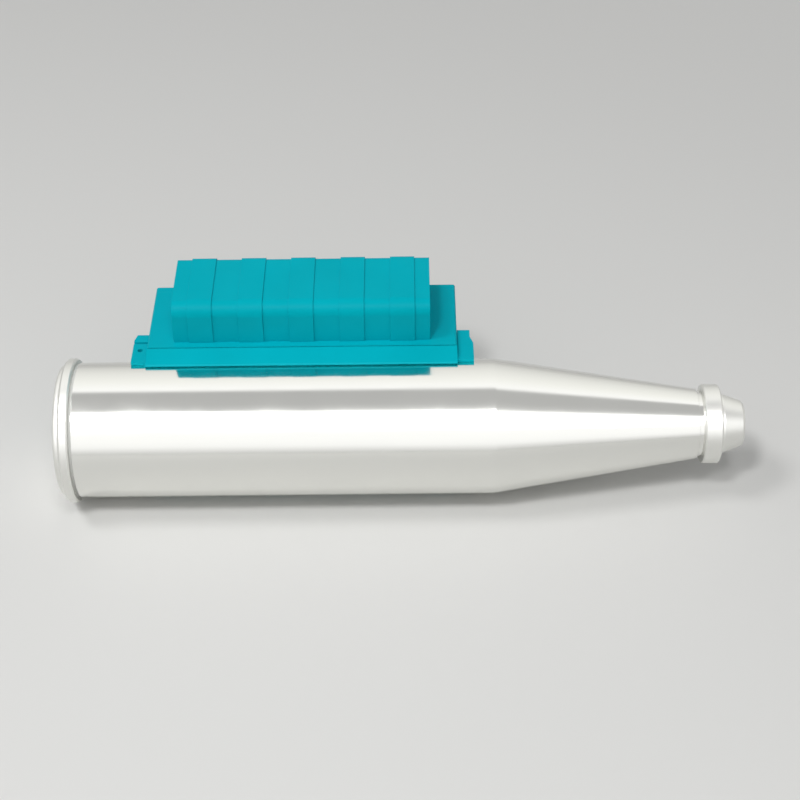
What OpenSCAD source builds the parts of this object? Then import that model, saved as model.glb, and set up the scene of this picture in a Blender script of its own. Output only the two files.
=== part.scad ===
/* [Barrel] */
// Outer diameter of the straight barrel
barrel_d = 54; // [53:0.5:56]
// Wall of the barrel
barrel_wall = 3.5; // [3.2:0.1:3.8]
// Station, from the rear end, where the taper begins
taper_x = 172; // [170:1:174]
// Station where the taper ends
taper_end_x = 252.4; // [250:0.1:255]
// Diameter at the small end of the taper
taper_end_d = 28; // [27.5:0.5:29]
// Wall of the threaded neck round the guide sleeve
neck_wall = 3.1; // [3:0.05:3.3]

/* [Rear cover] */
// Height of the gripping flange above the barrel
flange_step = 1.75; // [1.5:0.05:2.2]
// Thickness of the gripping flange
flange_t = 4; // [3.8:0.1:4.4]
// Height of the rounded rear rim
rear_rim_t = 2.4; // [2:0.1:2.6]
// Gap between the flange and the barrel, filled by the seal
seam_w = 1.1; // [0.9:0.1:1.4]

/* [Front cap] */
// Bare neck between the taper and the collar
neck_gap = 2.1; // [1.8:0.1:3]
// Wall of the collar round the neck
collar_wall = 2.8; // [2.6:0.05:3.2]
// Length of the collar
collar_l = 6.8; // [6.4:0.1:7.6]
// Wall of the nose at its tip
nose_wall = 1.7; // [1.5:0.05:2.1]
// Growth of the nose from its tip to the collar
nose_flare = 2.7; // [2.5:0.1:3.1]
// Length of the nose
nose_l = 9.7; // [9:0.1:10.5]

/* [Striking mechanism] */
// Working stroke of the plunger and of the mass
stroke = 75; // [72:0.5:75.5]
// Diameter of the impact plunger
plunger_d = 15; // [14.6:0.1:15.2]
// Diameter of the guide rod
rod_d = 7; // [6.6:0.1:7.4]
// Step from the body of the mass up to its collar
mass_step = 3; // [2.8:0.1:3.3]
// Length of the hammer mass
mass_l = 76; // [75:0.5:77]
// Thickness of the guide disc
disc_t = 5; // [4.8:0.1:5.2]
// Diameter of the rider's rod
rider_rod_d = 3; // [2.8:0.1:3.2]
// Angle of the rider above the side that carries the display
rider_a = 30; // [28:1:33]
// Travel of the lock button
button_travel = 3; // [2.6:0.1:3.1]

/* [Display unit] */
// Station of the unit's rear end
unit_x = 34.5; // [34.2:0.1:35.5]
// Height of the unit's top over the barrel
lip_t = 3; // [2.8:0.1:3.5]
// Wall of the saddle behind the barrel
base_wall = 4; // [3.8:0.1:4.6]
// Distance from the hammer axis to the edge of the upper lip
lip_y = 6.6; // [6.2:0.1:7]
// Height of that edge over the barrel
lip_edge = 1.2; // [1:0.1:1.4]
// The same for the lower lip, which the unit rests on
low_lip_y = -4; // [-5:0.5:-3]
// Distance from the axis to the line between saddle and housing
split_y = 14.1; // [13.6:0.1:14.6]
// Wall of the housing
unit_wall = 2.2; // [2:0.1:2.4]
// Length of the eyelet lug at the rear end
rear_lug_l = 6; // [5.6:0.1:6.4]
// Length of the lug at the front end
front_lug_l = 6.5; // [6.2:0.1:7]
// Diameter of the lanyard eyelet
eyelet_d = 2; // [1.6:0.1:2.2]

/* [Battery cover] */
// Room past each end of the row of cells
cell_room = 6.1; // [5.8:0.05:6.4]
// Gap over and under the cells
cell_gap = 0.6; // [0.5:0.05:0.9]
// Step from the saddle line to the cover's near side
cover_near = 3.4; // [3.1:0.1:3.7]
// Step by which the cover's far side stands over the display panel
cover_far = 0.4; // [0:0.1:0.6]
// Radius of the cover's near edge
cover_near_r = 5; // [4.5:0.1:5.5]
// Number of raised grip bands
bands = 5; // [3:1:5]
// Width of a grip band
band_w = 9.8; // [9:0.1:11]
// Spacing of the grip bands
band_pitch = 20; // [19.5:0.1:20.3]
// Height of a grip band
band_t = 0.55; // [0.3:0.05:0.6]
// Diameter of a battery cell
cell_d = 14; // [13.6:0.1:14.2]
// Length of a battery cell
cell_l = 43; // [42:0.5:43.5]

/* [Display and keys] */
// Length of the display window
window_l = 64; // [62:0.5:65]
// Height of the display window
window_h = 40; // [38:0.5:40.5]
// Length of a key
key_l = 13; // [12:0.5:14]
// Height of a key
key_h = 9.5; // [8.5:0.5:10.5]
// Travel of a key
key_travel = 0.8; // [0.6:0.05:0.85]
// Length of the charging socket's mouth
socket_l = 10; // [9:0.5:10.5]
// Height of the charging socket's mouth
socket_h = 5; // [4.6:0.1:5.4]

/* [Hidden] */
$fn = 96;

// Clearances: sliding seat, running fit, free air, screw head, and the overshoot of a cut
fit_c = 0.05;
run_c = 0.06;
air = 0.3;
head_c = 0.2;
over = 1;
hair = 0.01;

// Barrel
barrel_r = barrel_d / 2;
bore_r = barrel_r - barrel_wall;
flange_r = barrel_r + flange_step;
taper_slope = (barrel_r - taper_end_d / 2) / (taper_end_x - taper_x);

// Rear cover
flange_x = rear_rim_t + flange_t;
barrel_x = flange_x + seam_w;
rim_inset = 0.8;
rim_round = 1.5;
round_step = 15;
flange_round = 0.8;
flange_chamfer = 0.6;
seal_inset = 0.2;
cover_floor = 2.5;
spigot_l = 10;
spigot_wall = 3.5;
spigot_end = barrel_x + spigot_l;
cavity_r = bore_r - spigot_wall;
trip_boss_r = 6;
trip_boss_x = 6;
trip_r = 3;
trip_gap = 3.4;
nut_flats = 10;
nut_t = 3.2;

// Guide disc and pawl, which hangs on a pin in the disc
disc_gap = 1.5;
disc_x = spigot_end + disc_gap;
disc_front = disc_x + disc_t;
disc_r = bore_r - run_c;
pawl_w = 5;
pawl_x = disc_x + disc_t / 2;
pawl_z = 13;
pawl_pin_r = 1.25;
pawl_slot = [5.6, 18.6];
pawl_tail_x = 8;
pawl_tail_t = 3;
pawl_tail_l = 14.5;
trip_end = pawl_x - pawl_tail_x - trip_gap;
pawl_root = 4.5;
pawl_shoulder = 2;
pawl_hub = 2.6;
pawl_arm = [1.7, 2.2];
claw_x = 11.2;
claw_t = 3;
claw_l = 3.6;
claw_slope = 0.5;
pocket_r = 3;
pocket_w = 3.4;
pin_reach = [4, 6];
pin_play = 0.1;

// Rider, before it is turned to its angle
rider_gap = 1.1;
rider_t = 4.6;
rider_w = 7;
rider_l = 18;
rider_top = bore_r - rider_gap;
rider_low = rider_top - rider_t;
rider_rod_r = rider_rod_d / 2;
rider_rod_drop = 2.4;
rider_rod_y = rider_top - rider_rod_drop;
finger_l = 3;
finger_w = 5;
finger_gap = 0.5;
magnet_in = 2;
magnet_l = 6;
magnet_w = 4;
magnet_t = 0.85;
magnet_top = rider_top + head_c;
notch_w = 9;
notch_drop = 0.4;

// Hammer mass
mass_gap = 1.3;
mass_x = disc_front + mass_gap + stroke;
mass_end = mass_x + mass_l;
mass_flange = [3, 9];
mass_neck = [6, 6.5];
collar_gap = 0.8;
mass_collar = [12, rider_low - collar_gap];
mass_r = mass_collar[1] - mass_step;
rod_r = rod_d / 2;

// Rider's rod and its brackets
rider_end = mass_end - mass_collar[0] - air;
rider_x = rider_end - rider_l;
bracket_l = 4;
bracket_w = 8;
bracket_rise = 0.2;
rod_spare = 4;
rider_rod_x = rider_x - stroke - bracket_l - rod_spare;
rider_rod_end = rider_end + air + bracket_l;
bore_back = 6;
bore_end_x = max(taper_x - bore_back, rider_rod_end + over);

// Plunger and front end
plunger_r = plunger_d / 2;
plunger_x = mass_end + air;
plunger_dome = 1.2;
sleeve_wall = 2.3;
sleeve_back = 25;
sleeve_r = plunger_r + sleeve_wall;
sleeve_x = taper_end_x - sleeve_back;
neck_r = sleeve_r + fit_c + neck_wall;
neck_thread = 3.6;
collar_x = taper_end_x + neck_gap;
collar_end = collar_x + collar_l;
collar_r = neck_r + collar_wall;
collar_chamfer = 0.5;
neck_end = collar_x + neck_thread;
tip_x = collar_end + nose_l;
tip_r = plunger_r + nose_wall;
nose_r = tip_r + nose_flare;
nose_straight = 1.4;
nose_chamfer = 0.9;
nose_play = 0.15;
washer_x = neck_end + air;
washer_t = 3;
washer_inset = 2.45;
washer_play = 0.1;
washer_room = 0.2;
washer_r = neck_r - washer_inset;
rod_play = 0.8;
rod_reach = 23;
plunger_bore_r = rod_r + rod_play;
rod_end = plunger_x + rod_reach;
buffer_l = 12;
buffer_room = 0.6;

// Springs: mean radius, wire radius and number of curls
wire_sides = 6;
curl_rings = 8;
return_play = 2;
impact_play = 3.1;
return_coil = [cavity_r - return_play, 0.6, 9];
impact_coil = [plunger_r + impact_play, 0.9, 13];
buffer_coil = [3.2, 0.45, 7];
button_coil = [2.85, 0.3, 4];
pawl_coil = [2.1, 0.3, 3];

// Lock button
pin_r = 2;
pin_wall = 0.2;
button_r = 4;
button_l = 4.2;
button_roof = 1;
lock_gap = 0.5;
button_x = disc_front + lock_gap + pin_r;
bush_r = 6;
bush_gap = 0.1;
bush_floor_t = 1;
bush_rise = 1.6;
bush_flange_r = 7.5;
bush_flange_t = 1.4;
pin_y = bore_r + pin_wall;
bush_floor = [bore_r + bush_gap, bore_r + bush_gap + bush_floor_t];
button_y = bush_floor[1] + button_travel + air;
button_end = button_y + button_l;
bush_end = button_y + bush_rise;
spring_groove_r = button_coil[0] + 2 * button_coil[1];

// Display unit
key_gap = 8;
key_space = 6;
key_edge = 9.1;
window_in = 10;
unit_l = window_in + window_l + key_gap + 2 * key_l + key_space + key_edge;
unit_end = unit_x + unit_l;
unit_r = barrel_r + lip_t;
unit_corner_r = 1;
edge_r = 0.8;
split_gap = 0.5;
shell_y = split_y + split_gap;
base_back = barrel_r + base_wall;
relief_step = 1.6;
relief_r = barrel_r + relief_step;
lug_y = [9, 26.8];
eyelet_y = 16.8;
front_lug_y = [9.2, 27.9];
lug_drop = 3;
lug_top = unit_r - lug_drop;
lug_t = 4.5;
lug_root = 1;
lug_step = [1, 5];
lug_narrow = 0.8;
lug_cut = [1, 3.4];
lug_slot_y = 21;
lug_slot_w = 1.1;
lug_slot_d = 0.8;
lug_gap = 0.15;
lip_c = 0.5;
lip_gap = 0.45;
lip_under = 0.8;
screw_r = 1.25;
saddle_head_r = 2.5;
saddle_head_t = 1.8;
saddle_screw_in = 24;
saddle_screw_l = 8.5;
saddle_screw_xs = [unit_x + saddle_screw_in, unit_end - saddle_screw_in];
saddle_screw_zs = [-8, 8];
saddle_seat = base_back - saddle_head_t - head_c;

// Charging socket, which sets how deep the housing is
socket_wall = 1;
socket_depth = 8;
socket_z = -10;
socket_corner_r = 1;
socket_back = 0.7;
socket_y = base_back + air + socket_wall + socket_l / 2;
board_t = 1.6;
board_y = socket_y + socket_l / 2 + socket_wall + socket_back;
board_drop = 8;
panel_t = 3;
panel_y = board_y + board_drop;
face_y = panel_y + panel_t;

// Flap of the socket, on a pin between two ears
flap_t = 1.3;
flap_gap = 0.5;
flap_over = 1.4;
flap_tab = 2.2;
flap_pin_r = 0.6;
knuckle_step = 0.25;
hinge_in = 3;
flap_hinge_y = socket_y + socket_l / 2 + hinge_in;
flap_hinge_x = unit_x - flap_gap - flap_t / 2;
flap_half = socket_h / 2 + flap_over;
ear_r = 1.3;
ear_t = 1.6;
ear_gap = 0.4;
ear_root = 0.5;
ear_low = flap_half + ear_gap;
flap_pin_half = ear_low + ear_t;

// Screw bosses of the housing
boss_r = 3.2;
boss_in = 5;
boss_c = 0.4;
boss_start = 2;
boss_y = base_back + boss_start;
boss_xs = [unit_x + boss_in, unit_end - boss_in];
boss_zs = [-unit_r + boss_in, unit_r - boss_in];
panel_head_r = 2.4;
panel_head_t = 1.6;
panel_screw_l = 12;
panel_seat = face_y - panel_head_t - head_c;

// Battery cover and cells
cover_t = 1.8;
cover_l = 2 * (cell_l + cell_room + cover_t);
cover_h = cell_d + 2 * cell_gap + cover_t;
cover_y = shell_y + cover_near;
cover_w = panel_y + cover_far - cover_y;
cover_x = unit_x + (unit_l - cover_l) / 2;
cover_top = unit_r + cover_h;
cover_far_r = 3;
cover_mid_x = cover_x + cover_l / 2;
cell_y = cover_y + cover_w / 2;
cell_z = unit_r + cell_d / 2 + cell_gap;
cell_x = cover_mid_x - cell_l;
cell_cap = 1.5;
nub_r = 2.8;
nub_root = 0.5;
cradle_t = 2;
cradle_in = 6;
cradle_low = 3;
cradle_xs = [for (i = [0, 1], x = [cradle_in, cell_l - cradle_in - cradle_t]) cell_x + i * cell_l + x];
hook_l = 8;
hook_t = 1.6;
hook_in = 16;
hook_c = 0.2;
hook_root = 0.2;
hook_drop = 0.8;
hook_rise = 4;
hook_xs = [cover_x + hook_in, cover_x + cover_l - hook_in - hook_l];
hook_ys = [cover_y + cover_t - hook_root, cover_y + cover_w - cover_t - hook_t + hook_root];
contact_t = 0.6;
contact_half = 5;
contact_r = 4;
contact_reach = 3.2;
contact_gap = 0.1;

// Inner block of the saddle and the strip of sensors let into it
base_inset = unit_wall + hook_drop + air;
sensor_gap = 0.5;
sensor_half = 4.1;
sensor_over = 1.9;
sensor_c = 0.1;
sensor_y = barrel_r + sensor_gap;
sensor_x = rider_x - stroke - sensor_over;
sensor_end = min(rider_end + sensor_over, unit_end - base_inset - air);

// Display, board and keys
window_x = unit_x + window_in;
window_z = 0;
window_t = 1.5;
window_ledge = 3;
window_corner = 2;
ledge_corner = 1;
lcd_t = 5.2;
board_in = 4;
board_margin = 3.4;
board_screw_r = 1;
board_screw_l = 6;
board_screw_in = 24;
board_screw_up = 5.2;
board_head_r = 1.9;
board_head_t = 1.2;
screw_room = 2;
post_half = 3.5;
post_root = 1;
post_top = 3;
board_screw_xs = [unit_x + board_screw_in, unit_end - board_screw_in];
board_screw_z = -unit_r + board_screw_up;
mat_edge = 3;
mat_edge_front = 1.5;
mat_t = 1.2;
dome_r = 3.4;
key_out = 1;
key_flange = 1;
key_lip = 1.2;
key_c = 0.1;
key_corner = 1.8;
key_x = window_x + window_l + key_gap + key_l / 2;
key_xs = [key_x, key_x + key_l + key_space];
key_zs = [-10, 10];
dome_top = panel_y - key_c - key_flange - key_travel;

// Film let into the panel's face round the window and the keys
film_t = 0.5;
film_in = 4;
film_half = 21.7;
film_corner = 2;

teal = "#00A8B6";
silver = "#D8D9DA";
steel = "#8C9298";
dark = "#26282B";
brass = "#B89B5E";
green = "#1E6B45";
felt = "#B9B2A0";
grey = "#6E7479";
pale = "#B4B5B1";

// Solid turned about the hammer axis from [radius, station] points
module turned(points) {
  rotate([0, 90, 0])
    rotate_extrude()
      polygon(points);
}

// Cylinder along the hammer axis
module rod_x(x0, x1, r) {
  translate([x0, 0, 0])
    rotate([0, 90, 0])
      cylinder(h = x1 - x0, r = r);
}

// Cylinder across the axis, towards the display
module rod_y(x, z, y0, y1, r) {
  translate([x, y0, z])
    rotate([-90, 0, 0])
      cylinder(h = y1 - y0, r = r);
}

// Box from two opposite corners
module box(low, high) {
  translate(low)
    cube(high - low);
}

// Outline in the plane across the axis, drawn along it
module along_x(x0, x1) {
  translate([x0, 0, 0])
    rotate([90, 0, 90])
      linear_extrude(x1 - x0)
        children();
}

// Outline in the plane of the display face, drawn towards it
module along_y(y0, y1) {
  translate([0, y1, 0])
    rotate([90, 0, 0])
      linear_extrude(y1 - y0)
        children();
}

// Rectangle with round corners
module round_rect(x0, x1, z0, z1, r) {
  translate([x0 + r, z0])
    square([x1 - x0 - 2 * r, z1 - z0]);
  translate([x0, z0 + r])
    square([x1 - x0, z1 - z0 - 2 * r]);
  for (x = [x0 + r, x1 - r], z = [z0 + r, z1 - r])
    translate([x, z])
      circle(r);
}

// One point of a spring's wire: ring i of n, side j of the wire
function coil_point(i, n, j, x0, x1, coil) =
  let (
    turn = 360 * coil[2] * i / n,
    side = 360 * j / wire_sides,
    r = coil[0] + coil[1] * cos(side),
    low = x0 + coil[1],
    high = x1 - coil[1]
  )
  [low + (high - low) * i / n + coil[1] * sin(side), r * cos(turn), r * sin(turn)];

// Gap between neighbouring curls of a spring
function coil_gap(x0, x1, coil) = (x1 - x0 - 2 * coil[1]) / coil[2] - 2 * coil[1];

// Spring wound about the X axis between two stations
module coil_spring(x0, x1, coil) {
  n = curl_rings * coil[2];
  s = wire_sides;
  points = [for (i = [0:n], j = [0:s - 1]) coil_point(i, n, j, x0, x1, coil)];
  sides = [
    for (i = [0:n - 1], j = [0:s - 1])
      each [
        [i * s + j, (i + 1) * s + j, i * s + (j + 1) % s],
        [i * s + (j + 1) % s, (i + 1) * s + j, (i + 1) * s + (j + 1) % s]
      ]
  ];
  first = [for (j = [1:s - 2]) [0, j, j + 1]];
  last = [for (j = [1:s - 2]) [n * s, n * s + j + 1, n * s + j]];
  echo(curl_gap = coil_gap(x0, x1, coil));
  polyhedron(points, concat(sides, first, last), convexity = 6);
}

// Straight tube, taper and threaded neck, with holes for the button and the saddle screws
module barrel() {
  inner_end_r = barrel_r - taper_slope * (sleeve_x - taper_x) - barrel_wall;
  color(silver)
    difference() {
      turned([
        [bore_r, barrel_x], [barrel_r, barrel_x], [barrel_r, taper_x],
        [taper_end_d / 2, taper_end_x], [neck_r, taper_end_x], [neck_r, neck_end],
        [sleeve_r + fit_c, neck_end], [sleeve_r + fit_c, sleeve_x], [inner_end_r, sleeve_x],
        [bore_r, bore_end_x]
      ]);
      rod_y(button_x, 0, 0, barrel_r + over, bush_r + fit_c);
      for (x = saddle_screw_xs, z = saddle_screw_zs)
        rod_y(x, z, 0, barrel_r + over, screw_r + fit_c);
    }
}

// Screwed cover with a gripping flange and a hollow spigot for the return spring
module rear_cover() {
  rim_r = barrel_r - rim_inset;
  rim = [
    for (a = [0:round_step:90])
      [rim_r - rim_round * (1 - sin(a)), rim_round * (1 - cos(a))]
  ];
  body = [
    [rim_r, rear_rim_t], [flange_r - flange_round, rear_rim_t], [flange_r, rear_rim_t + flange_round],
    [flange_r, flange_x - flange_chamfer], [flange_r - flange_chamfer, flange_x],
    [bore_r - fit_c, flange_x], [bore_r - fit_c, spigot_end],
    [cavity_r, spigot_end], [cavity_r, cover_floor], [0, cover_floor], [0, 0]
  ];
  color(silver)
    difference() {
      union() {
        turned(concat(rim, body));
        rod_x(cover_floor, trip_boss_x, trip_boss_r);
      }
      rod_x(cover_floor / 2, trip_boss_x + over, trip_r + fit_c);
    }
}

// Flat ring squeezed between the flange and the barrel
module rear_seal() {
  color(pale)
    turned([
      [bore_r + fit_c, flange_x], [barrel_r - seal_inset, flange_x],
      [barrel_r - seal_inset, barrel_x], [bore_r + fit_c, barrel_x]
    ]);
}

// Screw that trips the pawl at the end of the stroke
module trip_screw() {
  color(steel)
    rod_x(cover_floor / 2 + fit_c, trip_end, trip_r);
}

module trip_lock_nut() {
  color(steel)
    difference() {
      translate([trip_boss_x, 0, 0])
        rotate([0, 90, 0])
          cylinder(h = nut_t, d = nut_flats / cos(30), $fn = 6);
      rod_x(trip_boss_x - over, trip_boss_x + nut_t + over, trip_r + fit_c);
    }
}

// Screwed cap: round collar and tapered nose round the plunger
module front_cap() {
  edge = collar_chamfer;
  bore = plunger_r + nose_play;
  pocket_x = washer_x + washer_t + washer_room;
  seat_x = neck_end + washer_play;
  color(silver)
    turned([
      [neck_r + fit_c, collar_x], [collar_r - edge, collar_x], [collar_r, collar_x + edge],
      [collar_r, collar_end - edge], [collar_r - edge, collar_end], [nose_r, collar_end],
      [nose_r, collar_end + nose_straight], [tip_r, tip_x - nose_chamfer],
      [tip_r - nose_chamfer, tip_x], [bore, tip_x], [bore, pocket_x],
      [washer_r, pocket_x], [washer_r, seat_x], [neck_r + fit_c, seat_x]
    ]);
}

// Felt ring that wipes the plunger
module felt_washer() {
  inner = plunger_r + washer_play;
  outer = washer_r - fit_c;
  color(felt)
    turned([
      [inner, washer_x], [outer, washer_x],
      [outer, washer_x + washer_t], [inner, washer_x + washer_t]
    ]);
}

// Bronze sleeve that guides the plunger in the neck
module guide_sleeve() {
  color(brass)
    turned([
      [plunger_r + run_c, sleeve_x], [sleeve_r, sleeve_x],
      [sleeve_r, neck_end], [plunger_r + run_c, neck_end]
    ]);
}

// Impact plunger with a domed tip and a bore for the guide rod
module plunger() {
  dome = plunger_dome;
  bore_depth = rod_end + buffer_l + buffer_room;
  color(steel)
    turned([
      [plunger_bore_r, plunger_x], [plunger_r, plunger_x], [plunger_r, tip_x - dome],
      [plunger_r - dome, tip_x], [0, tip_x], [0, bore_depth], [plunger_bore_r, bore_depth]
    ]);
}

module guide_rod() {
  color(steel)
    rod_x(disc_x, rod_end, rod_r);
}

// Disc that carries the guide rod and the pawl, notched for the rider's rod
module guide_disc() {
  color(brass)
    difference() {
      rod_x(disc_x, disc_front, disc_r);
      rod_x(disc_x - over, disc_front + over, rod_r + fit_c);
      rotate([rider_a, 0, 0])
        box([disc_x - over, rider_low - notch_drop, -notch_w / 2],
          [disc_front + over, bore_r + over, notch_w / 2]);
      box([disc_x - over, -pawl_w / 2 - air, pawl_slot[0]],
        [disc_front + over, pawl_w / 2 + air, pawl_slot[1]]);
      box([disc_x - over, 0, pawl_z - pocket_r],
        [disc_front + over, pawl_w / 2 + pocket_w, pawl_z + pocket_r]);
      rod_y(pawl_x, pawl_z, -pawl_w / 2 - pin_reach[0], pawl_w / 2 + pin_reach[1], pawl_pin_r + fit_c);
    }
}

// Buffer spring between the guide rod and the plunger
module buffer_spring() {
  color(steel)
    coil_spring(rod_end, rod_end + buffer_l, buffer_coil);
}

// Hooked lever: its tail meets the trip screw and its hook catches the mass
module pawl() {
  tail_front = pawl_tail_t - pawl_tail_x;
  claw_rear = claw_x - claw_t;
  outline = [
    [-pawl_tail_x, -pawl_tail_l], [tail_front, -pawl_tail_l], [tail_front, -pawl_root],
    [-pawl_arm[0], -pawl_hub], [claw_rear - claw_slope, -pawl_arm[0]], [claw_rear, -claw_l],
    [claw_x, -claw_l], [claw_x, pawl_arm[1]], [-pawl_arm[1], pawl_hub], [-pawl_tail_x, -pawl_shoulder]
  ];
  color(grey)
    difference() {
      translate([pawl_x, pawl_w / 2, pawl_z])
        rotate([90, 0, 0])
          linear_extrude(pawl_w)
            polygon(outline);
      rod_y(pawl_x, pawl_z, -pawl_w, pawl_w, pawl_pin_r + run_c);
    }
}

module pawl_pin() {
  color(steel)
    rod_y(pawl_x, pawl_z, pin_play - pawl_w / 2 - pin_reach[0], pawl_w / 2 + pin_reach[1] - pin_play,
      pawl_pin_r);
}

// Spring round the pin beside the pawl
module pawl_spring() {
  color(steel)
    translate([pawl_x, 0, pawl_z])
      rotate([0, 0, 90])
        coil_spring(pawl_w / 2 + air, pawl_w / 2 + pocket_w - head_c, pawl_coil);
}

// Sliding mass: rear flange and neck for the pawl, front collar for the rider
module hammer_mass() {
  neck_x = mass_x + mass_flange[0];
  body_x = neck_x + mass_neck[0];
  front_x = mass_end - mass_collar[0];
  mass_bore = rod_r + run_c;
  color(steel)
    turned([
      [mass_bore, mass_x], [mass_flange[1], mass_x], [mass_flange[1], neck_x],
      [mass_neck[1], neck_x], [mass_neck[1], body_x], [mass_r, body_x],
      [mass_r, front_x], [mass_collar[1], front_x], [mass_collar[1], mass_end],
      [mass_bore, mass_end]
    ]);
}

// Tension spring from the mass to the front of the barrel
module impact_spring() {
  color(steel)
    coil_spring(mass_end + air, sleeve_x - air, impact_coil);
}

// Spring that pushes the guide disc and the plunger out
module return_spring() {
  color(steel)
    coil_spring(cover_floor + air, disc_x - air, return_coil);
}

// Slider that the mass carries back as it rebounds
module rider() {
  magnet_x = rider_x + magnet_in;
  half = rider_w / 2;
  pocket = magnet_w / 2 + fit_c;
  color(dark)
    rotate([rider_a, 0, 0])
      difference() {
        union() {
          box([rider_x, rider_low, -half], [rider_end, rider_top, half]);
          box([rider_end - finger_l, mass_r + finger_gap, -finger_w / 2],
            [rider_end, rider_low + over, finger_w / 2]);
        }
        translate([0, rider_rod_y, 0])
          rod_x(rider_x - over, rider_end + over, rider_rod_r + run_c);
        box([magnet_x, magnet_top - magnet_t - fit_c, -pocket],
          [magnet_x + magnet_l, rider_top + over, pocket]);
      }
}

// Magnet let into the rider's back, read through the barrel
module rider_magnet() {
  magnet_x = rider_x + magnet_in;
  color(steel)
    rotate([rider_a, 0, 0])
      box([magnet_x, magnet_top - magnet_t, -magnet_w / 2],
        [magnet_x + magnet_l, magnet_top, magnet_w / 2]);
}

module rider_rod() {
  color(steel)
    rotate([rider_a, 0, 0])
      translate([0, rider_rod_y, 0])
        rod_x(rider_rod_x, rider_rod_end, rider_rod_r);
}

// Two blocks on the barrel's wall that hold the rider's rod
module rod_brackets() {
  low = rider_low + bracket_rise;
  color(brass)
    rotate([rider_a, 0, 0])
      difference() {
        intersection() {
          rod_x(rider_rod_x - over, rider_rod_end + over, bore_r - fit_c);
          union() {
            for (x = [rider_rod_x, rider_rod_end - bracket_l])
              box([x, low, -bracket_w / 2], [x + bracket_l, bore_r + over, bracket_w / 2]);
          }
        }
        translate([0, rider_rod_y, 0])
          rod_x(rider_rod_x - over, rider_rod_end + over, rider_rod_r + fit_c);
      }
}

// Push button whose pin drops in front of the guide disc
module lock_button() {
  color(dark)
    difference() {
      union() {
        rod_y(button_x, 0, pin_y, button_y + button_roof, pin_r);
        rod_y(button_x, 0, button_y, button_end, button_r);
      }
      difference() {
        rod_y(button_x, 0, button_y - over, button_end - button_roof, spring_groove_r);
        rod_y(button_x, 0, button_y - 2 * over, button_end, pin_r + pin_wall);
      }
    }
}

// Bush that guides the button through the barrel
module button_bush() {
  reach = bush_flange_r + over;
  color(silver)
    difference() {
      union() {
        rod_y(button_x, 0, bush_floor[0], bush_end, bush_r);
        difference() {
          rod_y(button_x, 0, bore_r, barrel_r + bush_flange_t, bush_flange_r);
          rod_x(button_x - reach, button_x + reach, barrel_r + fit_c);
        }
      }
      rod_y(button_x, 0, bush_floor[0] - over, bush_end + over, pin_r + run_c);
      rod_y(button_x, 0, bush_floor[1], bush_end + over, button_r + run_c);
    }
}

module button_spring() {
  color(steel)
    translate([button_x, 0, 0])
      rotate([0, 0, 90])
        coil_spring(bush_floor[1] + fit_c, button_end - button_roof - fit_c, button_coil);
}

// Outline of the upper lip, which slopes down to a thin edge with a narrow gap over the barrel
module upper_lip() {
  foot_z = sqrt(pow(barrel_r, 2) - pow(lip_y, 2));
  edge_z = foot_z + lip_edge;
  polygon([
    [lip_y + lip_under, 0], [lip_y + lip_under, foot_z + lip_gap], [lip_y, foot_z + lip_gap],
    [lip_y, edge_z - lip_c], [lip_y + lip_c, edge_z], [split_y, unit_r], [split_y, 0]
  ]);
}

// Outline of the lower lip with a rounded outer edge
module lower_lip() {
  mirror([0, 1]) {
    translate([low_lip_y + edge_r, 0])
      square([split_y - low_lip_y - edge_r, unit_r]);
    translate([low_lip_y, 0])
      square([edge_r * 2, unit_r - edge_r]);
    translate([low_lip_y + edge_r, unit_r - edge_r])
      circle(edge_r);
  }
}

// Saddle that clasps the barrel, with an eyelet lug at the rear and a plain lug in front
module saddle_base() {
  base_r = unit_r - base_inset;
  lug_low = lug_top - lug_t;
  front_mid = (front_lug_y[0] + front_lug_y[1]) / 2;
  rear_x = unit_x - rear_lug_l;
  front_x = unit_end + front_lug_l;
  narrow_x = unit_end + lug_narrow * front_lug_l;
  rear_lug = [
    [unit_x + lug_root, lug_y[0]], [rear_x, lug_y[0]], [rear_x, lug_y[1] - lug_cut[1]],
    [rear_x + lug_cut[0], lug_y[1]], [unit_x + lug_root, lug_y[1]]
  ];
  front_lug = [
    [unit_end - lug_root, front_lug_y[0]], [front_x, front_lug_y[0]],
    [front_x, front_mid + lug_step[0]], [narrow_x, front_mid + lug_step[1]],
    [narrow_x, front_lug_y[1]], [unit_end - lug_root, front_lug_y[1]]
  ];
  color(teal)
    difference() {
      union() {
        along_x(unit_x, unit_end) {
          upper_lip();
          lower_lip();
        }
        along_x(unit_x + base_inset, unit_end - base_inset)
          translate([split_y - over, -base_r])
            square([base_back - split_y + over, 2 * base_r]);
        for (lug = [rear_lug, front_lug])
          translate([0, 0, lug_low])
            linear_extrude(lug_t)
              polygon(lug);
      }
      rod_x(rear_x - over, front_x + over, barrel_r + fit_c);
      for (x = [unit_x - lug_gap, unit_end - base_inset])
        box([x, split_y, lug_low - over], [x + base_inset + lug_gap, front_lug_y[1] + over, unit_r]);
      box([rear_x - over, lug_slot_y, lug_top - lug_slot_d],
        [unit_x, lug_slot_y + lug_slot_w, lug_top + over]);
      translate([unit_x - rear_lug_l / 2, eyelet_y, lug_low - over])
        cylinder(h = lug_t + 2 * over, d = eyelet_d);
      for (x = saddle_screw_xs, z = saddle_screw_zs) {
        rod_y(x, z, 0, base_back + over, screw_r + fit_c);
        rod_y(x, z, saddle_seat, base_back + over, saddle_head_r + head_c);
      }
      rotate([rider_a, 0, 0])
        box([sensor_x - sensor_c, barrel_r - over, -sensor_half - sensor_c],
          [sensor_end + sensor_c, sensor_y + board_t + sensor_c, sensor_half + sensor_c]);
    }
}

// Strip of sensors that follows the rider's magnet
module sensor_board() {
  color(green)
    rotate([rider_a, 0, 0])
      box([sensor_x, sensor_y, -sensor_half], [sensor_end, sensor_y + board_t, sensor_half]);
}

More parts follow.
